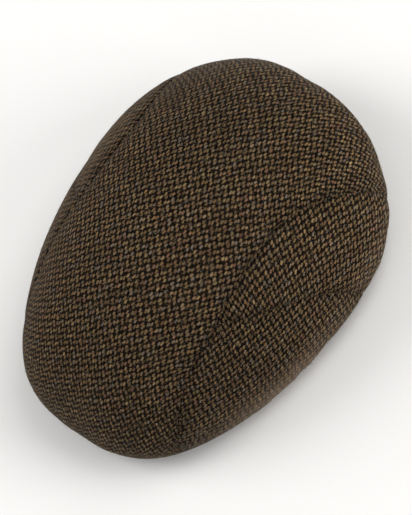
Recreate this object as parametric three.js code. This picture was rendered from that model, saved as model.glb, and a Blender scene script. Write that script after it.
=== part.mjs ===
import * as THREE from 'three';

// A flat cap of woven wool, lying on its rim.
// +X is the wearer's left, +Y the back, +Z up, and the rim rests at z = 0.

// Driving sizes in millimetres
const crownBackReach = 148.5;   // middle of the crown to the back of its bulge
const crownFrontReach = 131;    // middle of the crown to the front edge of the peak
const crownOvalWidth = 203;     // across the plain oval that the ring table swells
const capHeight = 115;          // table to the top of the crown
const bulgeHeightBack = 46.5;   // widest line of the crown above the rim, at the back
const rimTuckBack = 24;         // how far the rim lies inside the bulge, at the back
const clothWall = 2.2;          // outer cloth with its fusible backing
const rimHemWidth = 3;          // turned cloth at the rim
const seamGap = 0.3;            // clearance between two panels
const seamDip = 0.8;            // how far a seam pulls the cloth in
const peakDepth = 55;           // front edge of the peak to the edge at the forehead
const peakThickness = 2.6;      // stiffened peak
const peakLift = 16;            // front of the peak above the table
const peakRise = 8;             // forehead edge of the peak above its front edge
const peakGap = 0.4;            // clearance between the peak and the cloth round it
const peakCornerTurn = 97;      // degrees round from the back where the peak starts
const peakCornerWidth = 4;      // width of the peak where it ends at its corners

// Counts of facets
const topColumnCount = 22;
const frontSeamRowCount = 12;
const rearSeamRowCount = 11;
const wallRowCount = 4;
const rearSideColumnCount = 11;
const peakColumnCount = 30;
const peakRowCount = 6;

// Small steps that the cloth's normals are read with: a share of the disc, and degrees
const normalStep = 0.004;
const normalTurn = 1;

// The crown seen from above is a rounded outline round its middle.
// turn is degrees from the back, fullness swells the plain oval, wall is a share of
// bulgeHeightBack, tuck a share of rimTuckBack, and dome and crest shape the slope.
const crownRing = [
  { turn: 0, fullness: 1.0, wall: 1.0, tuck: 1.0, dome: 2.06, crest: 1.78 },
  { turn: 30, fullness: 1.072, wall: 0.82, tuck: 0.95, dome: 2.0, crest: 1.8 },
  { turn: 60, fullness: 1.156, wall: 0.48, tuck: 0.75, dome: 1.95, crest: 1.82 },
  { turn: 90, fullness: 1.048, wall: 0.375, tuck: 0.5, dome: 1.89, crest: 1.84 },
  { turn: 120, fullness: 1.008, wall: 0.34, tuck: 0.2, dome: 2.02, crest: 1.75 },
  { turn: 150, fullness: 1.04, wall: 0.22, tuck: 0.06, dome: 2.15, crest: 1.64 },
  { turn: 180, fullness: 1.0, wall: 0.11, tuck: 0.03, dome: 2.28, crest: 1.5 },
];

// The crown laid flat is a disc: its centre is the top, radius 1 is the bulge, and
// the wall lies outside that. The main seam runs on it from the front to the back.
const mainSeam = [
  { across: 0.651, along: -0.759 },
  { across: 0.514, along: -0.437 },
  { across: 0.48, along: -0.187 },
  { across: 0.44, along: -0.02 },
  { across: 0.405, along: 0.1 },
  { across: 0.395, along: 0.215 },
  { across: 0.505, along: 0.405 },
  { across: 0.734, along: 0.679 },
];

// The side seam leaves the main seam at a share of its length, different on each side,
// and runs down to the bulge through these points.
const sideSeam = [
  { across: 0.605, along: -0.005 },
  { across: 0.745, along: 0.155 },
  { across: 0.951, along: 0.309 },
];
const sideSeamRimTurn = 69;     // where the side seam meets the rim
const sides = [
  { name: 'left', hand: 1, junctionShare: 0.4 },
  { name: 'right', hand: -1, junctionShare: 0.47 },
];

const cloth = new THREE.MeshStandardMaterial({ color: 0x5c4a38, roughness: 0.95, metalness: 0 });
const peakCloth = new THREE.MeshStandardMaterial({ color: 0x4a3b2d, roughness: 0.95, metalness: 0 });

const degrees = Math.PI / 180;
const crownMiddleY = (crownFrontReach - crownBackReach) / 2;

// Brings a turn between -180 and 180 degrees
function wrap(turn) {
  return turn - 360 * Math.round(turn / 360);
}

// Reads a column of the ring at any turn, smoothly, alike on both sides of the cap
function ringValue(column, turn) {
  const last = crownRing.length - 1;
  const place = (Math.abs(wrap(turn)) / 180) * last;
  const row = Math.min(Math.floor(place), last - 1);
  const share = place - row;
  const at = (index) => crownRing[index < 0 ? -index : index > last ? 2 * last - index : index][column];
  const [before, from, to, after] = [at(row - 1), at(row), at(row + 1), at(row + 2)];
  const startSlope = (to - before) / 2;
  const endSlope = (after - from) / 2;
  const bend = 2 * (from - to) + startSlope + endSlope;
  const ease = 3 * (to - from) - 2 * startSlope - endSlope;
  return ((bend * share + ease) * share + startSlope) * share + from;
}

// Height of the lower edge: the rim lies on the table, and the peak arches up from its corners
function rimHeight(turn) {
  const share = Math.max(0, (Math.abs(wrap(turn)) - peakCornerTurn) / (180 - peakCornerTurn));
  return peakLift * Math.sin(share * 90 * degrees) ** 2;
}

// Widest line of the crown in plan
function bulgePoint(turn) {
  const reach = Math.abs(wrap(turn)) < 90 ? crownBackReach : crownFrontReach;
  const fullness = ringValue('fullness', turn);
  const x = fullness * (crownOvalWidth / 2) * Math.sin(turn * degrees);
  const y = fullness * reach * Math.cos(turn * degrees);
  return new THREE.Vector2(x, y);
}

// Point of the outer surface over a place on the flat disc. level runs down the wall from 0 to 1.
function crownPoint(place) {
  const bulge = bulgePoint(place.turn);
  const wallHeight = ringValue('wall', place.turn) * bulgeHeightBack;
  const bulgeHeight = rimHeight(place.turn) + wallHeight;
  if (place.level > 0) {
    const tuck = ringValue('tuck', place.turn) * rimTuckBack * place.level ** 2;
    const inward = 1 - tuck / bulge.length();
    const height = bulgeHeight - wallHeight * place.level;
    return new THREE.Vector3(bulge.x * inward, bulge.y * inward + crownMiddleY, height);
  }
  const reach = Math.sin(place.radius * 90 * degrees);
  const rise = (1 - reach ** ringValue('dome', place.turn)) ** (1 / ringValue('crest', place.turn));
  const height = bulgeHeight + (capHeight - bulgeHeight) * rise;
  return new THREE.Vector3(bulge.x * reach, bulge.y * reach + crownMiddleY, height);
}

// Place on the flat disc from its across and along shares
function discPlace(point) {
  const turn = Math.atan2(point.x, point.y) / degrees;
  return { turn, radius: Math.min(point.length(), 1), level: 0 };
}

function wallPlace(turn, level) {
  return { turn, radius: 1, level };
}

// Seam lines of one side, as curves on the flat disc
function seamCurves(side) {
  const toDisc = (row) => new THREE.Vector2(row.across * side.hand, row.along);
  const main = new THREE.SplineCurve(mainSeam.map(toDisc));
  const junction = main.getPointAt(side.junctionShare);
  const lower = new THREE.SplineCurve([junction, ...sideSeam.map(toDisc)]);
  return { main, lower };
}

// Stations along the main seam, before and behind the junction
function frontShare(side, row) {
  return (side.junctionShare * row) / frontSeamRowCount;
}

function rearShare(side, row) {
  return side.junctionShare + ((1 - side.junctionShare) * row) / rearSeamRowCount;
}

function turnOf(point) {
  return Math.atan2(point.x, point.y) / degrees;
}

// Points on the rim of the disc from one turn to another
function arcPoint(fromTurn, toTurn, share) {
  const turn = fromTurn + (toTurn - fromTurn) * share;
  return new THREE.Vector2(Math.sin(turn * degrees), Math.cos(turn * degrees));
}

// Fills a four-sided patch of the disc between its edges. Each edge is a list of points.
function fillPatch(first, last, start, end) {
  const rows = start.length - 1;
  const columns = first.length - 1;
  return start.map((startPoint, row) => {
    const down = row / rows;
    return first.map((firstPoint, column) => {
      const along = column / columns;
      const point = new THREE.Vector2();
      point.addScaledVector(firstPoint, 1 - down).addScaledVector(last[column], down);
      point.addScaledVector(startPoint, 1 - along).addScaledVector(end[row], along);
      point.addScaledVector(first[0], -(1 - down) * (1 - along));
      point.addScaledVector(first[columns], -(1 - down) * along);
      point.addScaledVector(last[0], -down * (1 - along));
      point.addScaledVector(last[columns], -down * along);
      return point;
    });
  });
}

function countTo(number) {
  return Array.from({ length: number + 1 }, (_, index) => index);
}

function pointKey(point) {
  return point.toArray().map((value) => Math.round(value * 1000)).join(' ');
}

// Outward normal of the crown at a place, from points a small step away on the disc
function crownNormal(place) {
  if (place.radius < normalStep) return new THREE.Vector3(0, 0, 1);
  const along = place.level > 0 ? 'level' : 'radius';
  const above = { ...place, [along]: place[along] - normalStep };
  const below = { ...place, [along]: Math.min(place[along] + normalStep, 1) };
  const left = { ...place, turn: place.turn + normalTurn };
  const right = { ...place, turn: place.turn - normalTurn };
  const fall = new THREE.Vector3().subVectors(crownPoint(below), crownPoint(above));
  const around = new THREE.Vector3().subVectors(crownPoint(left), crownPoint(right));
  return around.cross(fall).normalize();
}

// A panel is a wall of cloth over a grid of places. Its seam edges step back by half the gap.
function panelGeometry(places, seams) {
  const rows = places.length - 1;
  const columns = places[0].length - 1;
  const outer = places.map((line) => line.map(crownPoint));
  const normals = places.map((line) => line.map(crownNormal));
  const middle = outer[Math.floor(rows / 2)][Math.floor(columns / 2)];

  // The cells along each edge of the grid, and the ways in from the seams at each point
  const edges = {
    firstRow: countTo(columns).map((column) => [0, column]),
    firstColumn: countTo(rows).map((row) => [row, 0]),
    lastColumn: countTo(rows).map((row) => [row, columns]),
  };
  const waysIn = new Map();
  for (const seam of seams) {
    const cells = edges[seam.edge].filter(([row]) => row >= (seam.fromRow ?? 0));
    cells.forEach(([row, column], index) => {
      const [nextRow, nextColumn] = cells[Math.min(index + 1, cells.length - 1)];
      const [lastRow, lastColumn] = cells[Math.max(index - 1, 0)];
      const run = new THREE.Vector3().subVectors(outer[nextRow][nextColumn], outer[lastRow][lastColumn]);
      const wayIn = run.cross(normals[row][column]).normalize();
      const inward = new THREE.Vector3().subVectors(middle, outer[row][column]);
      wayIn.multiplyScalar(Math.sign(wayIn.dot(inward)));
      const key = pointKey(outer[row][column]);
      waysIn.set(key, [...(waysIn.get(key) ?? []), wayIn]);
    });
  }

  const outside = outer.map((line, row) => line.map((point, column) => {
    const [first, second = first] = waysIn.get(pointKey(point)) ?? [];
    if (!first) return point;
    const step = seamGap / 2 / (1 + first.dot(second));
    const moved = point.clone().addScaledVector(first, step).addScaledVector(second, step);
    const atRim = places[row][column].level === 1;
    return atRim ? moved : moved.addScaledVector(normals[row][column], -seamDip);
  }));
  const inside = outside.map((line, row) => line.map((point, column) => {
    const normal = normals[row][column];
    if (places[row][column].level < 1) return point.clone().addScaledVector(normal, -clothWall);
    const flat = new THREE.Vector3(normal.x, normal.y, 0).normalize();
    return point.clone().addScaledVector(flat, -rimHemWidth);
  }));
  return wallGeometry(outside, inside);
}

// Closed wall between an outer and an inner grid
function wallGeometry(outside, inside) {
  const rows = outside.length - 1;
  const columns = outside[0].length - 1;
  const triangles = [];
  const addQuad = (a, b, c, d) => {
    triangles.push([a, b, c], [a, c, d]);
  };
  for (let row = 0; row < rows; row += 1) {
    for (let column = 0; column < columns; column += 1) {
      const next = column + 1;
      const below = row + 1;
      addQuad(outside[row][column], outside[below][column], outside[below][next], outside[row][next]);
      addQuad(inside[row][column], inside[row][next], inside[below][next], inside[below][column]);
    }
  }
  // Two panels that meet split the faces of their edges alike, from the lower outer corner
  const addEdge = (outerA, outerB, innerB, innerA) => {
    if (outerA.z < outerB.z) addQuad(outerA, outerB, innerB, innerA);
    else addQuad(outerB, innerB, innerA, outerA);
  };
  for (let column = 0; column < columns; column += 1) {
    const next = column + 1;
    addEdge(outside[0][column], outside[0][next], inside[0][next], inside[0][column]);
    addEdge(outside[rows][next], outside[rows][column], inside[rows][column], inside[rows][next]);
  }
  for (let row = 0; row < rows; row += 1) {
    const below = row + 1;
    addEdge(outside[below][0], outside[row][0], inside[row][0], inside[below][0]);
    addEdge(outside[row][columns], outside[below][columns], inside[below][columns], inside[row][columns]);
  }
  return closedGeometry(triangles);
}

// Joins triangles that share corners, drops the flat ones and turns the faces outward
function closedGeometry(triangles) {
  const keys = new Map();
  const positions = [];
  const indexOf = (point) => {
    const key = pointKey(point);
    if (!keys.has(key)) {
      keys.set(key, positions.length / 3);
      positions.push(...point.toArray());
    }
    return keys.get(key);
  };
  const faces = [];
  let volume = 0;
  for (const corners of triangles) {
    const [a, b, c] = corners.map(indexOf);
    if (a === b || b === c || c === a) continue;
    faces.push([a, b, c]);
    volume += corners[0].dot(new THREE.Vector3().crossVectors(corners[1], corners[2]));
  }
  const geometry = new THREE.BufferGeometry();
  geometry.setAttribute('position', new THREE.Float32BufferAttribute(positions, 3));
  geometry.setIndex(faces.flatMap(([a, b, c]) => (volume > 0 ? [a, b, c] : [a, c, b])));
  geometry.computeVertexNormals();
  return geometry;
}

// Top panel, from the front edge of the peak over the crown and down the back
function topPanel() {
  const shares = countTo(topColumnCount).map((column) => column / topColumnCount);
  const edges = sides.map((side) => {
    const { main } = seamCurves(side);
    const front = countTo(frontSeamRowCount).map((row) => frontShare(side, row));
    const rear = countTo(rearSeamRowCount).slice(1).map((row) => rearShare(side, row));
    return [...front, ...rear].map((share) => main.getPointAt(share));
  });
  const [left, right] = edges;
  const frontTurn = turnOf(left[0]);
  const backTurn = turnOf(left[left.length - 1]);
  const front = shares.map((share) => arcPoint(frontTurn, 360 - frontTurn, share));
  const back = shares.map((share) => arcPoint(backTurn, -backTurn, share));
  const dome = fillPatch(front, back, left, right).map((line) => line.map(discPlace));
  const frontWall = countTo(wallRowCount).slice(1).reverse().map((row) => (
    shares.map((share) => wallPlace(frontTurn + (360 - 2 * frontTurn) * share, row / wallRowCount))
  ));
  const backWall = countTo(wallRowCount).slice(1).map((row) => (
    shares.map((share) => wallPlace(backTurn - 2 * backTurn * share, row / wallRowCount))
  ));
  const seams = [{ edge: 'firstColumn' }, { edge: 'lastColumn' }];
  return panelGeometry([...frontWall, ...dome, ...backWall], seams);
}

// Front side panel, between the main seam, the side seam and the edge of the peak
function frontSidePanel(side) {
  const { main, lower } = seamCurves(side);
  const seam = countTo(frontSeamRowCount).reverse().map((row) => main.getPointAt(frontShare(side, row)));
  const start = countTo(rearSeamRowCount).map((row) => lower.getPointAt(row / rearSeamRowCount));
  const tip = seam[frontSeamRowCount];
  const sideTurn = turnOf(start[rearSeamRowCount]);
  const tipTurn = turnOf(tip);
  const arc = seam.map((_, column) => arcPoint(sideTurn, tipTurn, column / frontSeamRowCount));
  const dome = fillPatch(seam, arc, start, start.map(() => tip)).map((line) => line.map(discPlace));
  const wall = countTo(wallRowCount).slice(1).map((row) => {
    const level = row / wallRowCount;
    const fromTurn = sideTurn + (side.hand * sideSeamRimTurn - sideTurn) * level;
    const turns = arc.map((_, column) => fromTurn + (tipTurn - fromTurn) * (column / frontSeamRowCount));
    return turns.map((turn) => wallPlace(turn, level));
  });
  const seams = [
    { edge: 'firstRow' },
    { edge: 'firstColumn' },
    { edge: 'lastColumn', fromRow: rearSeamRowCount },
  ];
  return panelGeometry([...dome, ...wall], seams);
}

// Rear side panel, between the side seam, the main seam and the rim
function rearSidePanel(side) {
  const { main, lower } = seamCurves(side);
  const start = countTo(rearSeamRowCount).map((row) => lower.getPointAt(row / rearSeamRowCount));
  const end = countTo(rearSeamRowCount).map((row) => main.getPointAt(rearShare(side, row)));
  const sideTurn = turnOf(start[rearSeamRowCount]);
  const backTurn = turnOf(end[rearSeamRowCount]);
  const shares = countTo(rearSideColumnCount).map((column) => column / rearSideColumnCount);
  const arc = shares.map((share) => arcPoint(sideTurn, backTurn, share));
  const tip = shares.map(() => start[0]);
  const dome = fillPatch(tip, arc, start, end).map((line) => line.map(discPlace));
  const wall = countTo(wallRowCount).slice(1).map((row) => {
    const level = row / wallRowCount;
    const fromTurn = sideTurn + (side.hand * sideSeamRimTurn - sideTurn) * level;
    return shares.map((share) => wallPlace(fromTurn + (backTurn - fromTurn) * share, level));
  });
  return panelGeometry([...dome, ...wall], [{ edge: 'firstColumn' }, { edge: 'lastColumn' }]);
}

// Stiff peak inside the front of the cap, from its front edge back to the forehead
function peak() {
  const inset = rimHemWidth + peakGap;
  const edgePoint = (turn) => {
    const place = wallPlace(turn, 1);
    const normal = crownNormal(place);
    const flat = new THREE.Vector3(normal.x, normal.y, 0).normalize();
    return crownPoint(place).addScaledVector(flat, -inset);
  };
  const corner = edgePoint(peakCornerTurn);
  const foreheadY = crownMiddleY - crownFrontReach + peakDepth;
  const shares = countTo(peakColumnCount).map((column) => (2 * column) / peakColumnCount - 1);
  const under = countTo(peakRowCount).map((row) => shares.map((share) => {
    const outer = edgePoint(180 - share * (180 - peakCornerTurn));
    const sweep = share * 90 * degrees;
    const inner = new THREE.Vector3(
      Math.sin(sweep) * (corner.x - peakCornerWidth),
      corner.y + (foreheadY - corner.y) * Math.cos(sweep),
      outer.z,
    );
    const width = outer.distanceTo(inner);
    const inwards = row / peakRowCount;
    const point = outer.clone().lerp(inner, inwards);
    point.z += (peakRise * inwards * width) / peakDepth;
    return point;
  }));
  const top = under.map((line) => line.map((point) => point.clone().setZ(point.z + peakThickness)));
  return wallGeometry(top, under);
}

const cap = new THREE.Group();

function addPiece(name, geometry, material) {
  const mesh = new THREE.Mesh(geometry, material);
  mesh.name = name;
  cap.add(mesh);
}

addPiece('top_panel', topPanel(), cloth);
for (const side of sides) {
  addPiece(`front_side_${side.name}`, frontSidePanel(side), cloth);
  addPiece(`rear_side_${side.name}`, rearSidePanel(side), cloth);
}
addPiece('peak', peak(), peakCloth);

export default cap;
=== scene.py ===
# A flat cap sewn from five panels of brown and black wool tweed, lying on its rim.
# +X is the wearer's left, +Y the back and +Z up, in metres, as in the loaded frame.
import math

import bpy
import numpy as np
from mathutils import Matrix, Vector, kdtree, noise


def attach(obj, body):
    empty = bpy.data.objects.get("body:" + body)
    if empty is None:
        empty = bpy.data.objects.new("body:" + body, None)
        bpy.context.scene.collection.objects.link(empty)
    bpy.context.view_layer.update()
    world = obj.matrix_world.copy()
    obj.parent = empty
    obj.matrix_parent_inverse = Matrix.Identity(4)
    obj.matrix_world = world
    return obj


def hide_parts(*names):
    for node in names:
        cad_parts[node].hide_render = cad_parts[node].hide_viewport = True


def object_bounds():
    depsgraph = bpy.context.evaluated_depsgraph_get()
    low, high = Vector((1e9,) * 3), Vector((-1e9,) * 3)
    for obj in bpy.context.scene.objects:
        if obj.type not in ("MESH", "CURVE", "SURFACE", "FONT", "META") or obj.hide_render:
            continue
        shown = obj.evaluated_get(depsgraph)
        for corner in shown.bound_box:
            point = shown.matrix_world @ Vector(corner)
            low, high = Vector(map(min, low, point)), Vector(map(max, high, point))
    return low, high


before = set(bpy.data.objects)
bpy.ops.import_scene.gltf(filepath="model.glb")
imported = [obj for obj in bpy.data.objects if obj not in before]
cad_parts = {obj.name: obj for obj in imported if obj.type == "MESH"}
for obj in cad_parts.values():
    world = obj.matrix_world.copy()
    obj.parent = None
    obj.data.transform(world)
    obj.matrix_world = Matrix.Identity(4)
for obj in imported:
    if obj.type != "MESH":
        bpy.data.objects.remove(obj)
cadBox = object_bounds()
mm = 0.001
print("frame loaded:", ", ".join(sorted(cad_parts)))

# The crown

crown = {
    "backReach": 148.5 * mm,       # middle of the crown to the back of its bulge
    "frontReach": 131 * mm,        # middle of the crown to the front edge
    "ovalWidth": 203 * mm,         # plain oval that the ring table swells
    "height": cadBox[1].z,
    "bulgeHeightBack": 46.5 * mm,  # widest line above the rim, at the back
    "rimTuckBack": 24 * mm,        # rim inside the bulge, at the back
    "peakLift": 16 * mm,           # front edge above the floor
    "peakCornerTurn": 97,          # degrees round from the back where the front edge lifts
}
crownMiddleY = (crown["frontReach"] - crown["backReach"]) / 2
insideCap = np.array([0, 0, 0.35 * crown["height"]])   # outward is away from this point
slopeStep = 0.004                  # share of the radius or the wall over which a slope is read

# turn is degrees from the back; the rest are shares that swell the oval and shape the slope
crownRing = [
    {"turn": 0, "fullness": 1.0, "wall": 1.0, "tuck": 1.0, "dome": 2.06, "crest": 1.78},
    {"turn": 30, "fullness": 1.072, "wall": 0.82, "tuck": 0.95, "dome": 2.0, "crest": 1.8},
    {"turn": 60, "fullness": 1.156, "wall": 0.48, "tuck": 0.75, "dome": 1.95, "crest": 1.82},
    {"turn": 90, "fullness": 1.048, "wall": 0.375, "tuck": 0.5, "dome": 1.89, "crest": 1.84},
    {"turn": 120, "fullness": 1.008, "wall": 0.34, "tuck": 0.2, "dome": 2.02, "crest": 1.75},
    {"turn": 150, "fullness": 1.04, "wall": 0.22, "tuck": 0.06, "dome": 2.15, "crest": 1.64},
    {"turn": 180, "fullness": 1.0, "wall": 0.11, "tuck": 0.03, "dome": 2.28, "crest": 1.5},
]

# Seams on the crown laid flat as a disc: across towards a side, along towards the back
mainSeam = [
    (0.651, -0.759), (0.514, -0.437), (0.48, -0.187), (0.44, -0.02),
    (0.405, 0.1), (0.395, 0.215), (0.505, 0.405), (0.734, 0.679),
]
sideSeam = [(0.605, -0.005), (0.745, 0.155), (0.951, 0.309)]
sideSeamRimTurn = 69               # degrees from the back where the side seam meets the rim
sides = {
    "left": {"hand": 1, "junctionShare": 0.4},
    "right": {"hand": -1, "junctionShare": 0.47},
}


def wrap(turn):
    return np.mod(turn + 180, 360) - 180


def smoothBetween(before, start, end, after, share):
    # the place at a share of the way from start to end on the smooth curve through all four
    startSlope = (end - before) / 2
    endSlope = (after - start) / 2
    bend = 2 * (start - end) + startSlope + endSlope
    ease = 3 * (end - start) - 2 * startSlope - endSlope
    return ((bend * share + ease) * share + startSlope) * share + start


def ringValue(column, turn):
    # smooth curve through the rows of the ring, alike on both sides of the cap
    values = np.array([row[column] for row in crownRing])
    last = len(values) - 1
    place = np.abs(wrap(turn)) / 180 * last
    row = np.minimum(np.floor(place).astype(int), last - 1)

    def at(index):
        return values[last - np.abs(last - np.abs(index))]
    return smoothBetween(at(row - 1), at(row), at(row + 1), at(row + 2), place - row)


def rimHeight(turn):
    corner = crown["peakCornerTurn"]
    share = np.maximum(0, (np.abs(wrap(turn)) - corner) / (180 - corner))
    return crown["peakLift"] * np.sin(share * math.pi / 2) ** 2


def wallHeight(turn):
    return ringValue("wall", turn) * crown["bulgeHeightBack"]


def crownPoint(turn, radius, level):
    # radius runs from the top, 0, to the bulge, 1; level then runs down the wall from 0 to 1
    angle = np.radians(turn)
    reach = np.where(np.cos(angle) > 0, crown["backReach"], crown["frontReach"])
    fullness = ringValue("fullness", turn)
    bulgeX = fullness * crown["ovalWidth"] / 2 * np.sin(angle)
    bulgeY = fullness * reach * np.cos(angle)
    bulgeZ = rimHeight(turn) + wallHeight(turn)
    tuck = ringValue("tuck", turn) * crown["rimTuckBack"] * level ** 2
    inward = 1 - tuck / np.hypot(bulgeX, bulgeY)
    slope = np.sin(np.clip(radius, 0, 1) * math.pi / 2)
    rise = np.maximum(1 - slope ** ringValue("dome", turn), 0) ** (1 / ringValue("crest", turn))
    onWall = level > 0
    grow = np.where(onWall, inward, slope)
    domeZ = bulgeZ + (crown["height"] - bulgeZ) * rise
    height = np.where(onWall, bulgeZ - wallHeight(turn) * level, domeZ)
    return np.stack([bulgeX * grow, bulgeY * grow + crownMiddleY, height], -1)


def unit(vectors):
    return vectors / np.maximum(np.linalg.norm(vectors, axis=-1, keepdims=True), 1e-12)


def crownTangents(turn, radius, level):
    # the directions outward and down
    onWall = level > 0
    radiusStep = np.where(onWall, 0, slopeStep)
    levelStep = np.where(onWall, slopeStep, 0)
    above = crownPoint(turn, radius - radiusStep, level - levelStep)
    below = crownPoint(turn, np.minimum(radius + radiusStep, 1), level + levelStep)
    around = crownPoint(turn + 1, radius, level) - crownPoint(turn - 1, radius, level)
    down = unit(below - above)
    return unit(np.cross(around, down)), down


def smoothLine(points):
    # smooth curve through the points, read by its share of the length
    points = np.array(points, float)
    last = len(points) - 1
    place = np.linspace(0, last, 400)
    index = np.minimum(place.astype(int), last - 1)
    before, after = points[np.maximum(index - 1, 0)], points[np.minimum(index + 2, last)]
    curve = smoothBetween(before, points[index], points[index + 1], after, (place - index)[:, None])
    steps = np.linalg.norm(np.diff(curve, axis=0), axis=1)
    lengths = np.concatenate([[0], np.cumsum(steps)])

    def at(share):
        length = np.asarray(share) * lengths[-1]
        return np.stack([np.interp(length, lengths, curve[:, axis]) for axis in (0, 1)], -1)
    return at


def arcLine(fromTurn, toTurn):
    def at(share):
        turn = np.radians(fromTurn + (toTurn - fromTurn) * np.asarray(share, float))
        return np.stack([np.sin(turn), np.cos(turn)], -1)
    return at


def turnOf(point):
    return math.degrees(math.atan2(point[0], point[1]))


def seamLines(side):
    flip = np.array([side["hand"], 1])
    main = smoothLine(np.array(mainSeam) * flip)
    junction = main(side["junctionShare"])
    lower = smoothLine(np.vstack([junction, np.array(sideSeam) * flip]))
    return main, lower


def discPlaces(points):
    radius = np.minimum(np.linalg.norm(points, axis=-1), 1)
    turn = np.degrees(np.arctan2(points[..., 0], points[..., 1]))
    return {"turn": turn, "radius": radius, "level": np.zeros_like(radius)}


def placeSeams():
    # close points on all the seams, which the panels measure their distance to
    alongSeam = np.linspace(0, 1, 1500)
    downWall = np.linspace(0, 1, 250)
    points = []
    for side in sides.values():
        main, lower = seamLines(side)
        points += [crownPoint(**discPlaces(line(alongSeam))) for line in (main, lower)]
        bulgeTurn = turnOf(lower(1))
        wallTurns = [
            bulgeTurn + (side["hand"] * sideSeamRimTurn - bulgeTurn) * downWall,
            np.full_like(downWall, turnOf(main(0))),
            np.full_like(downWall, turnOf(main(1))),
        ]
        for turns in wallTurns:
            points.append(crownPoint(turns, np.ones_like(downWall), np.maximum(downWall, 1e-4)))
    return np.concatenate(points)


seamPoints = placeSeams()
seamTree = kdtree.KDTree(len(seamPoints))
for index, point in enumerate(seamPoints):
    seamTree.insert(point, index)
seamTree.balance()
print("seams placed")

# Folds, dents and wear of the cloth, and the light and shade painted on its colour

cloth = {
    "wall": 1.4 * mm,             # tweed with its fusible backing
    "hemFold": 1.5 * mm,          # radius of the fold at the rim
    "hemHeight": 11 * mm,         # cloth turned up inside
    "hemShare": 0.85,             # most of the wall that the hem covers
    "hemSlopeLevel": 0.9,         # share of the wall where the slope at the fold is read
    "foldRows": 8,
    "hemRows": 7,
    "seamGap": 0.02 * mm,
    "seamDrop": 0.75 * mm,        # depth of the valley between two panels
    "seamReach": 2.6 * mm,        # how far the cloth rounds over towards a seam
    "seamDraw": 0.85 * mm,        # wider dip along a seam, where the stitches draw the cloth in
    "seamDrawReach": 11 * mm,
    "seamCrowding": 0.7,          # how much closer the mesh's points lie at a seam
    "pucker": 0.9,                # share that the wider dip comes and goes
    "puckerPitch": 7 * mm,
    "dentDepth": 0.55 * mm,       # slack places in the crown
    "dentPitch": 52 * mm,
    "dentStart": (3, 1, 7),       # where its noise is read, and so for the next two
    "rippleDepth": 0.22 * mm,
    "ripplePitch": 17 * mm,
    "rippleStart": (5, 2, 1),
    "edgeRippleDepth": 0.8 * mm,  # soft bumps where the cloth rolls over to the rim
    "edgeRipplePitch": 15 * mm,
    "edgeRippleStart": (9, 4, 2),
    "edgeRippleReach": 0.09,      # share of the disc
    "wallOnDisc": 0.15,           # share of the disc that the wall counts as
    "rimFade": 0.35,              # share of the wall where all these die out
    "pointPitch": 1.55 * mm,      # spacing of the mesh's points
}

# short wrinkles that rise from the rim where the peak's corners push the cloth out, in degrees
wrinkles = [
    {"turn": 85.5, "width": 2.2, "depth": 0.8 * mm},
    {"turn": 95.5, "width": 1.5, "depth": 1.5 * mm},
    {"turn": 103, "width": 3.2, "depth": 0.7 * mm},
    {"turn": 118, "width": 3.5, "depth": 0.6 * mm},
    {"turn": -79, "width": 2.6, "depth": 0.8 * mm},
    {"turn": -98, "width": 2.0, "depth": 1.3 * mm},
    {"turn": -112, "width": 3.4, "depth": 0.6 * mm},
]

# shares added to the cloth's colour: painted shade along the seams, a band of painted sheen and patches of
# painted light and shade; and shares of raised nap with painted sheen
paintedLightAndWear = {
    "plain": 0.95,
    "seam": -0.3,                 # painted shade in the valleys along the seams, where the pile is also pressed flat
    "seamReach": 4.5 * mm,
    "paintedSheen": 0.5,                   # painted sheen: a pale band where the cloth curls over beside the peak's corners
    "paintedSheenFrom": 70,                # degrees from the back
    "paintedSheenTo": 138,
    "paintedSheenFade": 26,
    "paintedSheenHeight": 14 * mm,
    "paintedSheenReach": 12 * mm,
    "napInSheenBand": 0.36,               # raised nap with painted sheen, which hides the weave in the band of painted sheen
    "napAndSheenLeft": 0.3,               # and low on the left side, with painted sheen there too
    "napFrom": 20,
    "napTo": 148,
    "napFade": 20,
    "napHeight": 38 * mm,
    "napFall": 0.7,               # power by which it thins out upwards
    # patches of painted light (share above 0) and painted shade (share below 0)
    "paintedLightPatches": [
        {"middle": (-15, 72, 101), "reach": 38 * mm, "share": -0.22},
        {"middle": (88, -46, 54), "reach": 32 * mm, "share": -0.26},
        {"middle": (64, -112, 28), "reach": 27 * mm, "share": -0.22},
        {"middle": (-88, 25, 70), "reach": 30 * mm, "share": 0.24},
        {"middle": (105, 66, 26), "reach": 32 * mm, "share": 0.17},
    ],
}


def slack(place, kind):
    # soft bumps of the named kind, from about -1 to 1
    return noise.noise(place / cloth[kind + "Pitch"] + Vector(cloth[kind + "Start"]))


def edgeFolds(place, turn, nearEdge):
    # bumps and wrinkles where the cloth rolls over
    height = cloth["edgeRippleDepth"] * slack(place, "edgeRipple")
    for wrinkle in wrinkles:
        across = (turn - wrinkle["turn"]) / wrinkle["width"]
        if abs(across) < 3:
            height -= wrinkle["depth"] * math.exp(-across ** 2)
    return height * nearEdge


def seamDip(place):
    distance = seamTree.find(place)[2]
    drawn = max(0, 1 - distance / cloth["seamDrawReach"]) ** 2
    dropped = max(0, 1 - distance / cloth["seamReach"]) ** 2
    pucker = 1 + cloth["pucker"] * noise.noise(place / cloth["puckerPitch"])
    return cloth["seamDraw"] * pucker * drawn + cloth["seamDrop"] * dropped


def clothRelief(points, turns, radii, levels):
    # how far each point of the outer face stands out from the plain crown
    relief = []
    for point, turn, radius, level in zip(points, turns, radii, levels):
        place = Vector(point)
        height = cloth["dentDepth"] * slack(place, "dent")
        height += cloth["rippleDepth"] * slack(place, "ripple") - seamDip(place)
        toEdge = (1 - radius) + cloth["wallOnDisc"] * level
        nearEdge = math.exp(-(toEdge / cloth["edgeRippleReach"]) ** 2)
        if nearEdge > 0.01:
            height += edgeFolds(place, turn, nearEdge)
        relief.append(height * min(1.0, (1 - level) / cloth["rimFade"]))
    return np.array(relief)


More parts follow.
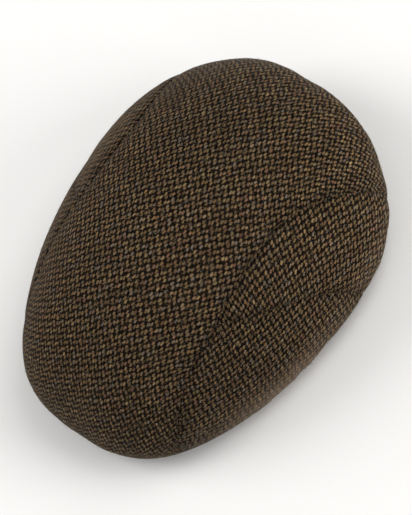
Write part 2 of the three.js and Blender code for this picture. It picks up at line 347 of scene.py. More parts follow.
def turnsAround(points):
    return np.degrees(np.arctan2(points[:, 0], points[:, 1] - crownMiddleY))


def between(turns, low, high, fade):
    # 1 well between the two turns and 0 outside them
    return np.clip(np.minimum(turns - low, high - turns) / fade, 0, 1)


def paintedSheenBand(points):
    # 1 in the band of painted sheen beside the peak's corners
    inside = between(abs(turnsAround(points)), paintedLightAndWear["paintedSheenFrom"], paintedLightAndWear["paintedSheenTo"], paintedLightAndWear["paintedSheenFade"])
    inside = inside ** 2 * (3 - 2 * inside)
    return inside * np.exp(-((points[:, 2] - paintedLightAndWear["paintedSheenHeight"]) / paintedLightAndWear["paintedSheenReach"]) ** 2)


def napAndSheenShares(points):
    # raised nap with painted sheen: low on the left side and in the band of painted sheen
    inside = between(turnsAround(points), paintedLightAndWear["napFrom"], paintedLightAndWear["napTo"], paintedLightAndWear["napFade"])
    low = np.clip(1 - points[:, 2] / paintedLightAndWear["napHeight"], 0, 1) ** paintedLightAndWear["napFall"]
    return paintedLightAndWear["napAndSheenLeft"] * inside * low + paintedLightAndWear["napInSheenBand"] * paintedSheenBand(points)


def toneWithPaintedLight(points):
    # painted sheen and patches of painted light and shade, times painted shade along the seams
    paintedLightTone = paintedLightAndWear["plain"] + paintedLightAndWear["paintedSheen"] * paintedSheenBand(points)
    for patch in paintedLightAndWear["paintedLightPatches"]:
        away = np.linalg.norm(points - np.array(patch["middle"]) * mm, axis=1)
        paintedLightTone += patch["share"] * np.exp(-(away / patch["reach"]) ** 2)
    # painted shade near the seams
    toSeam = np.array([seamTree.find(Vector(point))[2] for point in points])
    return paintedLightTone * (1 + paintedLightAndWear["seam"] * np.exp(-(toSeam / paintedLightAndWear["seamReach"]) ** 2))


def paintShares(piece, name, shares):
    attribute = piece.data.attributes.new(name, "FLOAT", "POINT")
    attribute.data.foreach_set("value", shares.astype(np.float32))


# How the weave lies on each panel

repeat = {
    "across": 6.45 * mm,   # four warp threads
    "along": 6.3 * mm,     # four picks
}

# at the anchor one repeat of the weave runs along each of the two vectors
threads = {
    "top": {
        "anchor": (0, 0, crown["height"]),
        "across": (6.44 * mm, -0.32 * mm, 0),
        "along": (0.15 * mm, -6.3 * mm, 0),
    },
    "frontSide": {
        "anchor": (85 * mm, -46 * mm, 60 * mm),
        "across": (3.52 * mm, 3.46 * mm, -4.1 * mm),
        "along": (0.3 * mm, -5.1 * mm, -3.0 * mm),
    },
    "rearSide": {
        "anchor": (84 * mm, 36 * mm, 76 * mm),
        "across": (3.97 * mm, 2.18 * mm, -4.54 * mm),
        "along": (1.82 * mm, -6.04 * mm, -1.56 * mm),
    },
    "peak": {
        "anchor": (0, -100 * mm, 25 * mm),
        "across": (repeat["across"], 0, 0),
        "along": (0, -repeat["along"], 0),
    },
}

# the top panel was cut a little off the straight, so its rows swing round towards each end
topSwing = {
    "leanFront": 1.75,      # radians that the rows swing for each metre
    "leanBack": 0.7,
    "spreadMiddle": 0.95,   # share of the plain width, in the middle and added at the ends
    "spreadEnds": 0.11,
    "spreadReach": 90 * mm,
}


def swingTop(laid):
    across, along = laid.T
    lean = np.where(along > 0, topSwing["leanFront"], topSwing["leanBack"])
    toEnd = np.minimum(1, (along / topSwing["spreadReach"]) ** 2)
    spread = topSwing["spreadMiddle"] + topSwing["spreadEnds"] * toEnd
    return np.stack([across * spread + lean * along ** 2 / 2, along - lean * across * along], -1)


def mirrored(lie, hand):
    # the right side mirrors the threads' lie but not the cloth, so across keeps pointing left
    mirror = np.array([hand, 1, 1])
    return {
        "anchor": np.array(lie["anchor"]) * mirror,
        "across": np.array(lie["across"]) * mirror * hand,
        "along": np.array(lie["along"]) * mirror,
    }


def layThreads(piece, lie, swing=None):
    # a flat pattern of the panel in metres, turned and stretched as its threads lie
    bpy.ops.object.mode_set(mode="EDIT")
    bpy.ops.mesh.select_all(action="SELECT")
    bpy.ops.uv.unwrap(method="MINIMUM_STRETCH", margin=0.0)
    bpy.ops.object.mode_set(mode="OBJECT")
    mesh = piece.data
    mesh.uv_layers.active.name = "threads"
    flat = np.zeros(len(mesh.loops) * 2, np.float32)
    mesh.uv_layers["threads"].data.foreach_get("uv", flat)
    flat = flat.reshape(-1, 2).astype(float)
    vertex = np.zeros(len(mesh.loops), np.int32)
    mesh.loops.foreach_get("vertex_index", vertex)
    place = np.array([v.co for v in mesh.vertices])[vertex]
    away = np.linalg.norm(place - np.array(lie["anchor"]), axis=1)
    near = away < max(10 * mm, 1.5 * away.min())
    middle = flat[near].mean(0)
    fromMiddle = place[near] - place[near].mean(0)
    slope = np.linalg.lstsq(fromMiddle, flat[near] - middle, rcond=None)[0]
    oneRepeat = np.stack([np.array(lie["across"]) @ slope, np.array(lie["along"]) @ slope])
    laid = (flat - middle) @ np.linalg.inv(oneRepeat) @ np.diag([repeat["across"], repeat["along"]])
    if swing:
        laid = swing(laid)
    mesh.uv_layers["threads"].data.foreach_set("uv", laid.astype(np.float32).ravel())


# Cutting and sewing the panels

sharpAngle = math.radians(50)

# mean size of each panel, which sets how many points it has
panelSizes = {
    "top": {"width": 135 * mm, "length": 300 * mm, "extraColumns": 10, "frontRows": 6, "backRows": 28},
    "frontSide": {"width": 95 * mm, "length": 150 * mm, "extraColumns": 6, "wallRows": 16},
    "rearSide": {"width": 110 * mm, "length": 105 * mm, "wallRows": 24},
}


def selectOnly(piece):
    bpy.ops.object.select_all(action="DESELECT")
    piece.select_set(True)
    bpy.context.view_layer.objects.active = piece


def addPatch(name, points):
    # a flat grid whose points are then laid on the given rows of points
    rows, columns = points.shape[:2]
    bpy.ops.object.select_all(action="DESELECT")
    bpy.ops.mesh.primitive_grid_add(
        x_subdivisions=columns - 1, y_subdivisions=rows - 1, size=1, calc_uvs=True)
    piece = bpy.context.object
    piece.name = name
    piece.data.name = name
    piece.data.vertices.foreach_set("co", points.reshape(-1).astype(np.float32))
    piece.data.update()
    bpy.ops.object.mode_set(mode="EDIT")
    bpy.ops.mesh.select_all(action="SELECT")
    bpy.ops.mesh.remove_doubles(threshold=0.02 * mm)
    bpy.ops.object.mode_set(mode="OBJECT")
    return piece


def flipFaces():
    bpy.ops.object.mode_set(mode="EDIT")
    bpy.ops.mesh.select_all(action="SELECT")
    bpy.ops.mesh.flip_normals()
    bpy.ops.object.mode_set(mode="OBJECT")


def thicken(piece, wall):
    selectOnly(piece)
    solid = piece.modifiers.new("wall", "SOLIDIFY")
    solid.thickness = wall
    solid.offset = -1
    solid.use_even_offset = True
    solid.use_quality_normals = True
    bpy.ops.object.modifier_apply(modifier="wall")
    bpy.ops.object.shade_smooth_by_angle(angle=sharpAngle)


def fillPatch(first, last, start, end, along, down):
    # four-sided patch of the disc between its edges, which are functions of a share
    across, fall = along[None, :, None], down[:, None, None]
    patch = (1 - fall) * first(along)[None] + fall * last(along)[None]
    patch = patch + (1 - across) * start(down)[:, None] + across * end(down)[:, None]
    patch = patch - (1 - fall) * (1 - across) * first(0) - (1 - fall) * across * first(1)
    return patch - fall * (1 - across) * last(0) - fall * across * last(1)


def denseEnds(count, gapShare, atEnd=True):
    # shares from 0 to 1 that crowd towards the seam at the start, and towards one at the end
    even = np.linspace(0, 1, count + 1)
    if atEnd:
        crowded = 0.5 - 0.5 * np.cos(math.pi * even)
    else:
        crowded = 1 - np.cos(math.pi / 2 * even)
    shares = (1 - cloth["seamCrowding"]) * even + cloth["seamCrowding"] * crowded
    high = 1 - gapShare if atEnd else 1
    return gapShare + (high - gapShare) * shares


def lastLevel(turn):
    # where the wall ends and the fold starts, so that the fold rests at the rim's height
    level = np.full_like(turn, cloth["hemSlopeLevel"])
    normal, _ = crownTangents(turn, np.ones_like(turn), level)
    return 1 - cloth["hemFold"] * (1 + normal[..., 2]) / wallHeight(turn)


def hemPoints(turn):
    # cloth folded under the rim and turned up inside
    radius, end = np.ones_like(turn), lastLevel(turn)
    base = crownPoint(turn, radius, end)
    normal, down = crownTangents(turn, radius, end)
    fold = cloth["hemFold"]
    rows = []
    for angle in np.linspace(0, math.pi, cloth["foldRows"] + 1)[1:]:
        rows.append(base - fold * (1 - math.cos(angle)) * normal + fold * math.sin(angle) * down)
    height = np.minimum(cloth["hemHeight"], cloth["hemShare"] * end * wallHeight(turn))
    for share in np.linspace(0, 1, cloth["hemRows"] + 1)[1:]:
        level = end - height * share / wallHeight(turn)
        normal, _ = crownTangents(turn, radius, level)
        rows.append(crownPoint(turn, radius, level) - 2 * fold * normal)
    return np.array(rows)


def stackPlaces(*blocks):
    keys = ("turn", "radius", "level")
    return {key: np.concatenate([block[key] for block in blocks]) for key in keys}


def wallPlaces(turnRows):
    # a row of places for each row of turns, down to where the fold starts
    share = np.linspace(0, 1, len(turnRows) + 1)[1:, None]
    level = share * lastLevel(turnRows[-1])[None]
    return {"turn": turnRows, "radius": np.ones_like(turnRows), "level": level}


def sideWall(side, sideTurn, endTurn, along, rows):
    # from the side seam, which slants down to the rim, round to the main seam
    level = np.linspace(0, 1, rows + 1)[1:, None]
    fromTurn = sideTurn + (side["hand"] * sideSeamRimTurn - sideTurn) * level
    return wallPlaces(fromTurn + (endTurn - fromTurn) * along[None])


def sewPanel(name, places, lie, hemAtFront=False, swing=None):
    turn, radius, level = places["turn"], places["radius"], places["level"]
    plain = crownPoint(turn, radius, level)
    normal, _ = crownTangents(turn, radius, level)
    relief = clothRelief(plain.reshape(-1, 3), wrap(turn).ravel(), radius.ravel(), level.ravel())
    face = plain + relief.reshape(turn.shape)[..., None] * normal
    rows = [face, hemPoints(turn[-1])]
    if hemAtFront:
        rows.insert(0, hemPoints(turn[0])[::-1])
    piece = addPatch("cloth_" + name, np.concatenate(rows))
    inside = Vector(insideCap)
    if sum(part.area * part.normal.dot(part.center - inside) for part in piece.data.polygons) < 0:
        flipFaces()
    layThreads(piece, lie, swing)
    points = np.array([vertex.co for vertex in piece.data.vertices])
    # colour shares with painted light and shade, and raised nap with painted sheen
    paintShares(piece, "paintedLightTone", toneWithPaintedLight(points))
    paintShares(piece, "napAndSheen", napAndSheenShares(points))
    thicken(piece, cloth["wall"])
    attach(piece, "root")
    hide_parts(name)
    print("sewn:", name, len(piece.data.polygons), "faces")
    return piece, addFuzz("fuzz_" + name, face)


def topPanel():
    size = panelSizes["top"]
    leftMain, rightMain = [seamLines(side)[0] for side in sides.values()]
    frontTurn, backTurn = turnOf(leftMain(0)), turnOf(leftMain(1))
    columns = round(size["width"] / cloth["pointPitch"]) + size["extraColumns"]
    along = denseEnds(columns, cloth["seamGap"] / 2 / size["width"])
    down = np.linspace(0, 1, round(size["length"] / cloth["pointPitch"]) + 1)
    front = arcLine(frontTurn, 360 - frontTurn)
    back = arcLine(backTurn, -backTurn)
    dome = discPlaces(fillPatch(front, back, leftMain, rightMain, along, down))
    frontTurns = frontTurn + (360 - 2 * frontTurn) * along
    backTurns = backTurn - 2 * backTurn * along
    frontWall = wallPlaces(np.broadcast_to(frontTurns, (size["frontRows"], len(along))))
    frontWall = {key: rows[::-1] for key, rows in frontWall.items()}
    backWall = wallPlaces(np.broadcast_to(backTurns, (size["backRows"], len(along))))
    places = stackPlaces(frontWall, dome, backWall)
    return sewPanel("top_panel", places, threads["top"], hemAtFront=True, swing=swingTop)


def frontSidePanel(sideName):
    side, size = sides[sideName], panelSizes["frontSide"]
    main, lower = seamLines(side)
    sideTurn, tipTurn = turnOf(lower(1)), turnOf(main(0))
    gap = cloth["seamGap"] / 2
    columns = round(size["length"] / cloth["pointPitch"]) + size["extraColumns"]
    along = denseEnds(columns, gap / size["length"], atEnd=False)
    down = denseEnds(round(size["width"] / cloth["pointPitch"]), gap / size["width"], atEnd=False)

    def seam(share):
        return main(side["junctionShare"] * (1 - np.asarray(share, float)))

    def tip(share):
        return np.broadcast_to(main(0), (np.size(share), 2))
    dome = discPlaces(fillPatch(seam, arcLine(sideTurn, tipTurn), lower, tip, along, down))
    alongWall = along * (1 - gap / size["length"])
    wall = sideWall(side, sideTurn, tipTurn, alongWall, size["wallRows"])
    lie = mirrored(threads["frontSide"], side["hand"])
    return sewPanel("front_side_" + sideName, stackPlaces(dome, wall), lie)


def rearSidePanel(sideName):
    side, size = sides[sideName], panelSizes["rearSide"]
    main, lower = seamLines(side)
    junction = side["junctionShare"]
    sideTurn, backTurn = turnOf(lower(1)), turnOf(main(1))
    gap = cloth["seamGap"] / 2
    along = denseEnds(round(size["width"] / cloth["pointPitch"]), gap / size["width"])
    down = np.linspace(0, 1, round(size["length"] / cloth["pointPitch"]) + 1)

    def tip(share):
        return np.broadcast_to(main(junction), (np.size(share), 2))

    def end(share):
        return main(junction + (1 - junction) * np.asarray(share, float))
    dome = discPlaces(fillPatch(tip, arcLine(sideTurn, backTurn), lower, end, along, down))
    wall = sideWall(side, sideTurn, backTurn, along, size["wallRows"])
    lie = mirrored(threads["rearSide"], side["hand"])
    return sewPanel("rear_side_" + sideName, stackPlaces(dome, wall), lie)


# Loose fibres

fuzz = {
    "perSquareMetre": 410000,
    "moreAtRim": 1.6,          # rubbed cloth near the rim is hairier
    "rimReach": 22 * mm,
    "rightShare": 0.4,         # the right side is smoother
    "rightReach": 60 * mm,
    "shortest": 0.7 * mm,
    "longest": 2.6 * mm,
    "radius": 0.05 * mm,       # thicker than real wool, so that it shows
    "flattest": 8,             # degrees that a fibre stands up from the cloth
    "steepest": 70,
    "bend": 0.7,               # share of the length that the middle strays, and the tip sinks
    "tipFall": 0.25,
    "rootDepth": 0.1 * mm,
    "liftBelow": 5 * mm,       # near the floor all fibres point up
    "lift": 0.2,
    "colours": ("#5b4a36", "#8b7a63", "#98907f", "#bdb09b"),
}


def addFuzz(name, grid):
    # each fibre is a thin closed spindle of five points, bent at its middle
    chance = np.random.RandomState(sum(map(ord, name)))
    corner, right, below = grid[:-1, :-1], grid[:-1, 1:], grid[1:, :-1]
    area = np.linalg.norm(np.cross(right - corner, below - corner), axis=-1).ravel()
    area *= 1 + fuzz["moreAtRim"] * np.exp(-(corner[..., 2].ravel() / fuzz["rimReach"]) ** 2)
    toRight = np.clip(-corner[..., 0].ravel() / fuzz["rightReach"], 0, 1)
    area *= 1 - (1 - fuzz["rightShare"]) * toRight
    count = int(area.sum() * fuzz["perSquareMetre"])
    cells = chance.choice(len(area), count, p=area / area.sum())
    corner, right, below = [block.reshape(-1, 3)[cells] for block in (corner, right, below)]
    share = chance.rand(2, count, 1)
    root = corner + (right - corner) * share[0] + (below - corner) * share[1]
    normal = unit(np.cross(right - corner, below - corner))
    normal = normal * np.sign((normal * (root - insideCap)).sum(-1, keepdims=True))
    heading = chance.rand(count, 1) * 2 * math.pi
    flatWay = unit(right - corner)
    flatWay = flatWay * np.cos(heading) + np.cross(normal, flatWay) * np.sin(heading)
    stand = fuzz["flattest"] + (fuzz["steepest"] - fuzz["flattest"]) * chance.rand(count, 1) ** 2
    length = fuzz["shortest"] + (fuzz["longest"] - fuzz["shortest"]) * chance.rand(count, 1) ** 2
    rise = unit(flatWay * np.cos(np.radians(stand)) + normal * np.sin(np.radians(stand)))
    bend = unit(np.cross(normal, flatWay)) * (chance.rand(count, 1) - 0.5) * fuzz["bend"]
    low = root[:, 2] < fuzz["liftBelow"]
    rise[low, 2] = np.abs(rise[low, 2]) + fuzz["lift"]
    bend[low, 2] = 0
    start = root - fuzz["rootDepth"] * normal
    middle = root + (rise + bend) * length * 0.5
    tip = root + (rise - fuzz["tipFall"] * normal) * length
    sideWay = unit(np.cross(rise, normal))
    thirdWay = np.cross(rise, sideWay)
    thirds = np.radians([0, 120, 240])
    around = [sideWay * math.cos(turn) + thirdWay * math.sin(turn) for turn in thirds]
    ring = middle[:, None] + fuzz["radius"] * np.stack(around, 1)
    points = np.concatenate([start[:, None], ring, tip[:, None]], 1).reshape(-1, 3)
    spindle = np.array([(0, 2, 1), (0, 3, 2), (0, 1, 3), (4, 1, 2), (4, 2, 3), (4, 3, 1)])
    faces = (np.arange(count)[:, None, None] * 5 + spindle[None]).reshape(-1, 3)
    mesh = bpy.data.meshes.new(name)
    mesh.from_pydata(points.tolist(), [], faces.tolist())
    piece = bpy.data.objects.new(name, mesh)
    bpy.context.collection.objects.link(piece)
    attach(piece, "root")
    print("fuzz:", name, count, "fibres")
    return piece


# Peak, seen only from below

peakForm = {
    "depth": 55 * mm,
    "thickness": 2.6 * mm,
    "rise": 8 * mm,          # from the front edge to the forehead
    "inset": 3.4 * mm,
    "cornerWidth": 4 * mm,
    "edgeRound": 0.8 * mm,
    "columns": 151,
    "rows": 41,
}


def peakEdge(turn):
    # just inside the cloth's lower edge
    radius, level = np.ones_like(turn), np.ones_like(turn)
    normal, _ = crownTangents(turn, radius, level - slopeStep)
    return crownPoint(turn, radius, level) - peakForm["inset"] * unit(normal * np.array([1, 1, 0]))


def stiffPeak():
    cornerTurn = crown["peakCornerTurn"]
    corner = peakEdge(np.array([float(cornerTurn)]))[0]
    foreheadY = crownMiddleY - crown["frontReach"] + peakForm["depth"]
    shares = np.linspace(-1, 1, peakForm["columns"])
    outer = peakEdge(180 - shares * (180 - cornerTurn))
    sweep = shares * math.pi / 2
    inner = np.stack([
        np.sin(sweep) * (corner[0] - peakForm["cornerWidth"]),
        corner[1] + (foreheadY - corner[1]) * np.cos(sweep),
        outer[:, 2],
    ], -1)
    width = np.linalg.norm(inner - outer, axis=1)
    inwards = np.linspace(0, 1, peakForm["rows"])[:, None]
    points = outer[None] + (inner - outer)[None] * inwards[..., None]
    rise = peakForm["rise"] * inwards * width[None] / peakForm["depth"]
    points[..., 2] += rise + peakForm["thickness"]
    piece = addPatch("cloth_peak", points)
    if sum(face.normal.z for face in piece.data.polygons) < 0:
        flipFaces()
    layThreads(piece, threads["peak"])
    paintShares(piece, "paintedLightTone", np.ones(len(piece.data.vertices)))
    paintShares(piece, "napAndSheen", np.zeros(len(piece.data.vertices)))
    thicken(piece, peakForm["thickness"])
    bevel = piece.modifiers.new("round", "BEVEL")
    bevel.width = peakForm["edgeRound"]
    bevel.segments = 3
    bevel.limit_method = "ANGLE"
    bevel.angle_limit = sharpAngle
    selectOnly(piece)
    bpy.ops.object.modifier_apply(modifier="round")
    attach(piece, "root")
    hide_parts("peak")
    print("peak made")
    return piece


# Wool

tweed = {
    "floatCentres": (5, 3, 7, 1),  # eighths of the repeat where each warp thread floats
    "floatWidth": 0.98,            # share of a thread's pitch
    "floatLength": 1.0,            # share of half a repeat
    "sideRound": 3.2,              # higher powers make a float squarer
    "endRound": 2.6,
    "roughEdge": 0.45,             # how far loose fibres fray a float's edge
    "lightYarns": (
        "#58462f", "#6b5439", "#5f4d36", "#6e5a3f", "#654939", "#6b5335", "#5d534a", "#796345", "#625338",
    ),
    "darkYarns": ("#0b0703", "#120d07", "#1a1209", "#0e0c09"),
    # pale grey of the raised nap, which also paints the sheen at the curled edges
    "napAndSheenWool": "#5b4f44",
    "wander": 1.3 * mm,            # small and large strays of the threads
    "wanderPitch": 2.6 * mm,
    "drift": 2.6 * mm,
    "driftPitch": 16 * mm,
    "fibrePitch": 0.55 * mm,       # coarser than real fibres, so that they show
    "mottlePitch": 0.9 * mm,
    "mottle": (0.55, 1.42),        # darkest and lightest places of a yarn
    "floatShades": (0.62, 1.22),   # darkest and lightest floats
    "crestPaintedLight": (0.76, 1.22),   # painted shade at the edge and painted highlight on the crest of a float
    "napShades": (0.5, 1.4),
    "weftHeight": 0.55,            # share of a float's height
    "fibreHeight": 0.5,
    "relief": 0.5 * mm,
    "bump": 0.8,
}


def colour(code):
    # sRGB hex to linear
    parts = [int(code[place:place + 2], 16) / 255 for place in (1, 3, 5)]
    linear = [part / 12.92 if part <= 0.04045 else ((part + 0.055) / 1.055) ** 2.4 for part in parts]
    return linear + [1]


def addNode(tree, kind, links=None, **settings):
    node = tree.nodes.new("ShaderNode" + kind)
    for name, value in settings.items():
        setattr(node, name, value)
    for place, source in (links or {}).items():
        if isinstance(source, bpy.types.NodeSocket):
            tree.links.new(source, node.inputs[place])
        else:
            node.inputs[place].default_value = source
    return node


def paintRamp(node, stops):
    ramp = node.color_ramp
    while len(ramp.elements) > 1:
        ramp.elements.remove(ramp.elements[-1])
    for index, (place, value) in enumerate(stops):
        element = ramp.elements[0] if index == 0 else ramp.elements.new(place)
        element.position = place
        element.color = value


def evenStops(codes):
    return [(index / (len(codes) - 1), colour(code)) for index, code in enumerate(codes)]


def noiseSpan(value, low, high):
    # links for a Map Range that spreads a noise between two values
    return {"Value": value, "From Min": 0.3, "From Max": 0.7, "To Min": low, "To Max": high}


def newMaterial(name):
    material = bpy.data.materials.new(name)
    material.use_nodes = True
    tree = material.node_tree
    return material, tree, tree.nodes["Principled BSDF"]


def woolTweed():
    # broken twill of heathered wool: light grains on near black, dull, with a pale bloom at the edges
    material, tree, shader = newMaterial("wool tweed")

    # place on the cloth, with the small wander of hand-spun yarn
    place = addNode(tree, "UVMap", uv_map="threads").outputs["UV"]
    inSpace = addNode(tree, "TexCoord").outputs["Object"]
    for word, detail in (("wander", 1.5), ("drift", 1)):
        links = {"Vector": inSpace, "Scale": 1 / tweed[word + "Pitch"], "Detail": detail}
        stray = addNode(tree, "TexNoise", links).outputs["Color"]
        links = {0: stray, 1: (0.5, 0.5, 0.5)}
        stray = addNode(tree, "VectorMath", links, operation="SUBTRACT").outputs[0]
        stray = addNode(tree, "VectorMath", {0: stray, "Scale": tweed[word]}, operation="SCALE").outputs[0]
        place = addNode(tree, "VectorMath", {0: place, 1: stray}, operation="ADD").outputs[0]
    place = addNode(tree, "SeparateXYZ", {0: place})
    links = {0: place.outputs[0], 1: repeat["across"] / 4}
    warp = addNode(tree, "Math", links, operation="DIVIDE").outputs[0]
    links = {0: place.outputs[1], 1: repeat["along"]}
    along = addNode(tree, "Math", links, operation="DIVIDE").outputs[0]

    # which warp thread, and how far from its middle
    warpIndex = addNode(tree, "Math", {0: warp}, operation="FLOOR").outputs[0]
    fromWarp = addNode(tree, "Math", {0: warp, 1: warpIndex}, operation="SUBTRACT").outputs[0]
    fromWarp = addNode(tree, "Math", {0: fromWarp, 1: 0.5}, operation="SUBTRACT").outputs[0]
    inRepeat = addNode(tree, "Math", {0: warpIndex, 1: 0.5}, operation="ADD").outputs[0]
    inRepeat = addNode(tree, "Math", {0: inRepeat, 1: 4.0}, operation="FLOORED_MODULO").outputs[0]
    inRepeat = addNode(tree, "Math", {0: inRepeat, 1: 0.25}, operation="MULTIPLY").outputs[0]
    centre = addNode(tree, "ValToRGB", {"Fac": inRepeat})
    centre.color_ramp.interpolation = "CONSTANT"
    centres = [eighths / 8 for eighths in tweed["floatCentres"]]
    paintRamp(centre, [(step / 4, (share, share, share, 1)) for step, share in enumerate(centres)])

    # which float of that thread, and how far from its middle
    links = {0: along, 1: centre.outputs["Color"]}
    floatPlace = addNode(tree, "Math", links, operation="SUBTRACT").outputs[0]
    floatIndex = addNode(tree, "Math", {0: floatPlace}, operation="ROUND").outputs[0]
    fromFloat = addNode(tree, "Math", {0: floatPlace, 1: floatIndex}, operation="SUBTRACT").outputs[0]

    # rounded grain of a float, 1 in its middle and 0 at its frayed edge
    links = {0: fromWarp, 1: 2 / tweed["floatWidth"]}
    wide = addNode(tree, "Math", links, operation="MULTIPLY").outputs[0]
    wide = addNode(tree, "Math", {0: wide}, operation="ABSOLUTE").outputs[0]
    wide = addNode(tree, "Math", {0: wide, 1: tweed["sideRound"]}, operation="POWER").outputs[0]
    links = {0: fromFloat, 1: 4 / tweed["floatLength"]}
    long = addNode(tree, "Math", links, operation="MULTIPLY").outputs[0]
    long = addNode(tree, "Math", {0: long}, operation="ABSOLUTE").outputs[0]
    long = addNode(tree, "Math", {0: long, 1: tweed["endRound"]}, operation="POWER").outputs[0]
    edge = addNode(tree, "Math", {0: wide, 1: long}, operation="ADD").outputs[0]
    links = {"Vector": inSpace, "Scale": 1 / tweed["fibrePitch"], "Detail": 2, "Roughness": 0.65}
    fibre = addNode(tree, "TexNoise", links).outputs["Fac"]
    links = noiseSpan(fibre, -tweed["roughEdge"], tweed["roughEdge"])
    frayed = addNode(tree, "MapRange", links).outputs[0]
    edge = addNode(tree, "Math", {0: edge, 1: frayed}, operation="ADD").outputs[0]
    links = {"Value": edge, "From Min": 1.2, "From Max": 0.45}
    grain = addNode(tree, "MapRange", links, interpolation_type="SMOOTHSTEP").outputs[0]
    crest = addNode(tree, "Math", {0: 1.0, 1: edge}, operation="SUBTRACT", use_clamp=True).outputs[0]
    crest = addNode(tree, "Math", {0: crest, 1: 0.5}, operation="POWER").outputs[0]

    # the dark weft between them, one pick after another
    pick = addNode(tree, "Math", {0: along, 1: 4.0}, operation="MULTIPLY").outputs[0]
    pickIndex = addNode(tree, "Math", {0: pick}, operation="FLOOR").outputs[0]
    weft = addNode(tree, "Math", {0: pick, 1: pickIndex}, operation="SUBTRACT").outputs[0]
    weft = addNode(tree, "Math", {0: weft, 1: math.pi}, operation="MULTIPLY").outputs[0]
    weft = addNode(tree, "Math", {0: weft}, operation="SINE").outputs[0]
    weft = addNode(tree, "Math", {0: weft, 1: tweed["weftHeight"]}, operation="MULTIPLY").outputs[0]

    # each float takes its own wool and shade, with a painted highlight on its crest and painted shade at
    # its edge, and the yarn's fibres vary along it
    identity = addNode(tree, "CombineXYZ", {0: warpIndex, 1: floatIndex}).outputs[0]
    chance = addNode(tree, "TexWhiteNoise", {"Vector": identity}).outputs["Value"]
    lightYarn = addNode(tree, "ValToRGB", {"Fac": chance})
    paintRamp(lightYarn, evenStops(tweed["lightYarns"]))
    links = {"Vector": inSpace, "Scale": 1 / tweed["mottlePitch"], "Detail": 2}
    mottle = addNode(tree, "TexNoise", links).outputs["Fac"]
    shade = addNode(tree, "MapRange", noiseSpan(mottle, *tweed["mottle"])).outputs[0]
    links = {0: identity, 1: (0.37, 0.61, 5.0)}
    identity = addNode(tree, "VectorMath", links, operation="ADD").outputs[0]
    chance = addNode(tree, "TexWhiteNoise", {"Vector": identity}).outputs["Value"]
    # a random shade for each float, then a painted highlight on its crest and painted shade at its edge
    for value, shades in ((chance, tweed["floatShades"]), (crest, tweed["crestPaintedLight"])):
        links = {"Value": value, "To Min": shades[0], "To Max": shades[1]}
        part = addNode(tree, "MapRange", links).outputs[0]
        shade = addNode(tree, "Math", {0: shade, 1: part}, operation="MULTIPLY").outputs[0]
    links = {0: lightYarn.outputs["Color"], "Scale": shade}
    lightWool = addNode(tree, "VectorMath", links, operation="SCALE").outputs[0]
    identity = addNode(tree, "CombineXYZ", {0: warpIndex, 1: pickIndex, 2: 7.0}).outputs[0]
    chance = addNode(tree, "TexWhiteNoise", {"Vector": identity}).outputs["Value"]
    darkYarn = addNode(tree, "ValToRGB", {"Fac": chance})
    paintRamp(darkYarn, evenStops(tweed["darkYarns"]))
    links = {"Factor": grain, 6: darkYarn.outputs["Color"], 7: lightWool}
    wool = addNode(tree, "Mix", links, data_type="RGBA").outputs[2]

    # raised nap with painted sheen over the weave, then the painted sheen, painted light and shade patches
    # and painted shade along the seams
    hairy = addNode(tree, "MapRange", noiseSpan(fibre, *tweed["napShades"])).outputs[0]
    napAndSheen = addNode(tree, "Attribute", attribute_name="napAndSheen").outputs["Fac"]
    napAndSheen = addNode(tree, "Math", {0: napAndSheen, 1: hairy}, operation="MULTIPLY", use_clamp=True).outputs[0]
    links = {"Factor": napAndSheen, 6: wool, 7: colour(tweed["napAndSheenWool"])}
    wool = addNode(tree, "Mix", links, data_type="RGBA").outputs[2]
    paintedLightTone = addNode(tree, "Attribute", attribute_name="paintedLightTone").outputs["Fac"]
    wool = addNode(tree, "VectorMath", {0: wool, "Scale": paintedLightTone}, operation="SCALE").outputs[0]
    tree.links.new(wool, shader.inputs["Base Color"])

    # relief of warp, weft and fibres
    height = addNode(tree, "Math", {0: crest, 1: weft}, operation="MAXIMUM").outputs[0]
    links = {0: fibre, 1: tweed["fibreHeight"], 2: height}
    height = addNode(tree, "Math", links, operation="MULTIPLY_ADD").outputs[0]
    links = {"Height": height, "Distance": tweed["relief"], "Strength": tweed["bump"]}
    tree.links.new(addNode(tree, "Bump", links).outputs[0], shader.inputs["Normal"])
    shader.inputs["Roughness"].default_value = 0.92
    shader.inputs["IOR"].default_value = 1.45
    shader.inputs["Specular IOR Level"].default_value = 0.08
    shader.inputs["Sheen Weight"].default_value = 0.12
    shader.inputs["Sheen Roughness"].default_value = 0.25
    shader.inputs["Sheen Tint"].default_value = colour("#dcd7d0")
    return material


def looseWool():
    # stray fibres of the same wool, paler than the cloth because light passes round them
    material, tree, shader = newMaterial("loose wool")
    inSpace = addNode(tree, "TexCoord").outputs["Object"]
    links = {"Vector": inSpace, "Scale": 1 / (3 * mm), "Detail": 1}
    chance = addNode(tree, "TexNoise", links).outputs["Fac"]
    spread = addNode(tree, "MapRange", noiseSpan(chance, 0.0, 1.0)).outputs[0]
    wool = addNode(tree, "ValToRGB", {"Fac": spread})
    paintRamp(wool, evenStops(fuzz["colours"]))
    tree.links.new(wool.outputs["Color"], shader.inputs["Base Color"])
    shader.inputs["Roughness"].default_value = 0.8
    shader.inputs["Specular IOR Level"].default_value = 0.2
    return material


def dress(piece, material):
    piece.data.materials.clear()
    piece.data.materials.append(material)


tweedCloth = woolTweed()
fuzzWool = looseWool()
sewn = [topPanel()]
for sideName in sides:
    sewn += [frontSidePanel(sideName), rearSidePanel(sideName)]
for panel, loose in sewn:
    dress(panel, tweedCloth)
    dress(loose, fuzzWool)
dress(stiffPeak(), tweedCloth)

# Floor, light and camera

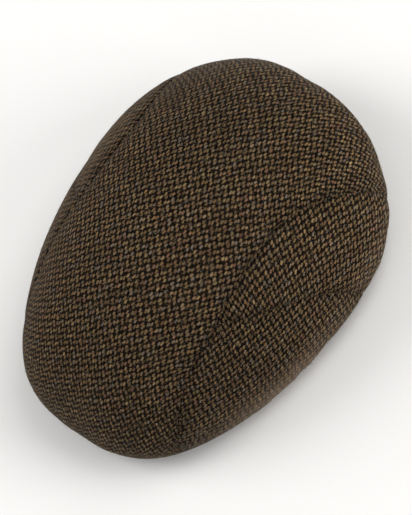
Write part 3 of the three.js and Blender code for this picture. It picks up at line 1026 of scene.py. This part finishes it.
studio = {
    "floorSize": 40.0,
    "floorColour": "#f3f2f0",
    "softboxSize": 1.5,
    "softboxes": {
        "softbox at the left side": {"place": (1.97, 1.14, 0.85), "power": 29},
        "softbox at the right side": {"place": (-1.63, -0.94, 1.45), "power": 27},
        "softbox at the back": {"place": (0.48, 1.3, 1.97), "power": 20},
    },
    "roomLight": 0.45,
    "azimuth": 75.91,      # camera round from the front, degrees
    "elevation": 60.97,
    "roll": 40.85,
    "distance": 6.0,
    "viewHeight": 343.3 * mm,
    "target": (-8.66 * mm, 7.8 * mm, 5.72 * mm),
}


def layFloor():
    # matt paper: pale, dull, with a fine tooth
    bpy.ops.object.select_all(action="DESELECT")
    bpy.ops.mesh.primitive_plane_add(size=studio["floorSize"], location=(0, 0, 0))
    floor = bpy.context.object
    floor.name = "floor"
    material, tree, shader = newMaterial("matt paper")
    inSpace = addNode(tree, "TexCoord").outputs["Object"]
    links = {"Vector": inSpace, "Scale": 1 / (1.5 * mm), "Detail": 3}
    tooth = addNode(tree, "TexNoise", links).outputs["Fac"]
    bump = addNode(tree, "Bump", {"Height": tooth, "Distance": 0.05 * mm}).outputs[0]
    tree.links.new(bump, shader.inputs["Normal"])
    shader.inputs["Base Color"].default_value = colour(studio["floorColour"])
    shader.inputs["Roughness"].default_value = 0.9
    floor.data.materials.append(material)


def addSoftbox(name, place, power):
    bpy.ops.object.light_add(type="AREA", location=place)
    lamp = bpy.context.object
    lamp.name = name
    lamp.data.shape = "DISK"
    lamp.data.size = studio["softboxSize"]
    lamp.data.energy = power
    lamp.rotation_euler = (-Vector(place)).to_track_quat("-Z", "Y").to_euler()
    lamp.visible_camera = False


def aimCamera():
    turn, lift, roll = [math.radians(studio[key]) for key in ("azimuth", "elevation", "roll")]
    flat = math.cos(lift)
    back = Vector((math.sin(turn) * flat, -math.cos(turn) * flat, math.sin(lift)))
    level = (-back).to_track_quat("-Z", "Y")
    bpy.ops.object.camera_add(location=Vector(studio["target"]) + back * studio["distance"])
    camera = bpy.context.object
    camera.rotation_mode = "QUATERNION"
    camera.rotation_quaternion = level @ Matrix.Rotation(-roll, 3, "Z").to_quaternion()
    camera.data.lens = camera.data.sensor_width * studio["distance"] / studio["viewHeight"]
    camera.data.clip_end = 50
    bpy.context.scene.camera = camera


layFloor()
for name, softbox in studio["softboxes"].items():
    addSoftbox(name, softbox["place"], softbox["power"])
world = bpy.data.worlds.new("white room")
world.use_nodes = True
world.node_tree.nodes["Background"].inputs["Color"].default_value = (1, 1, 1, 1)
world.node_tree.nodes["Background"].inputs["Strength"].default_value = studio["roomLight"]
bpy.context.scene.world = world
bpy.context.scene.view_settings.view_transform = "Standard"
aimCamera()
print("studio set")
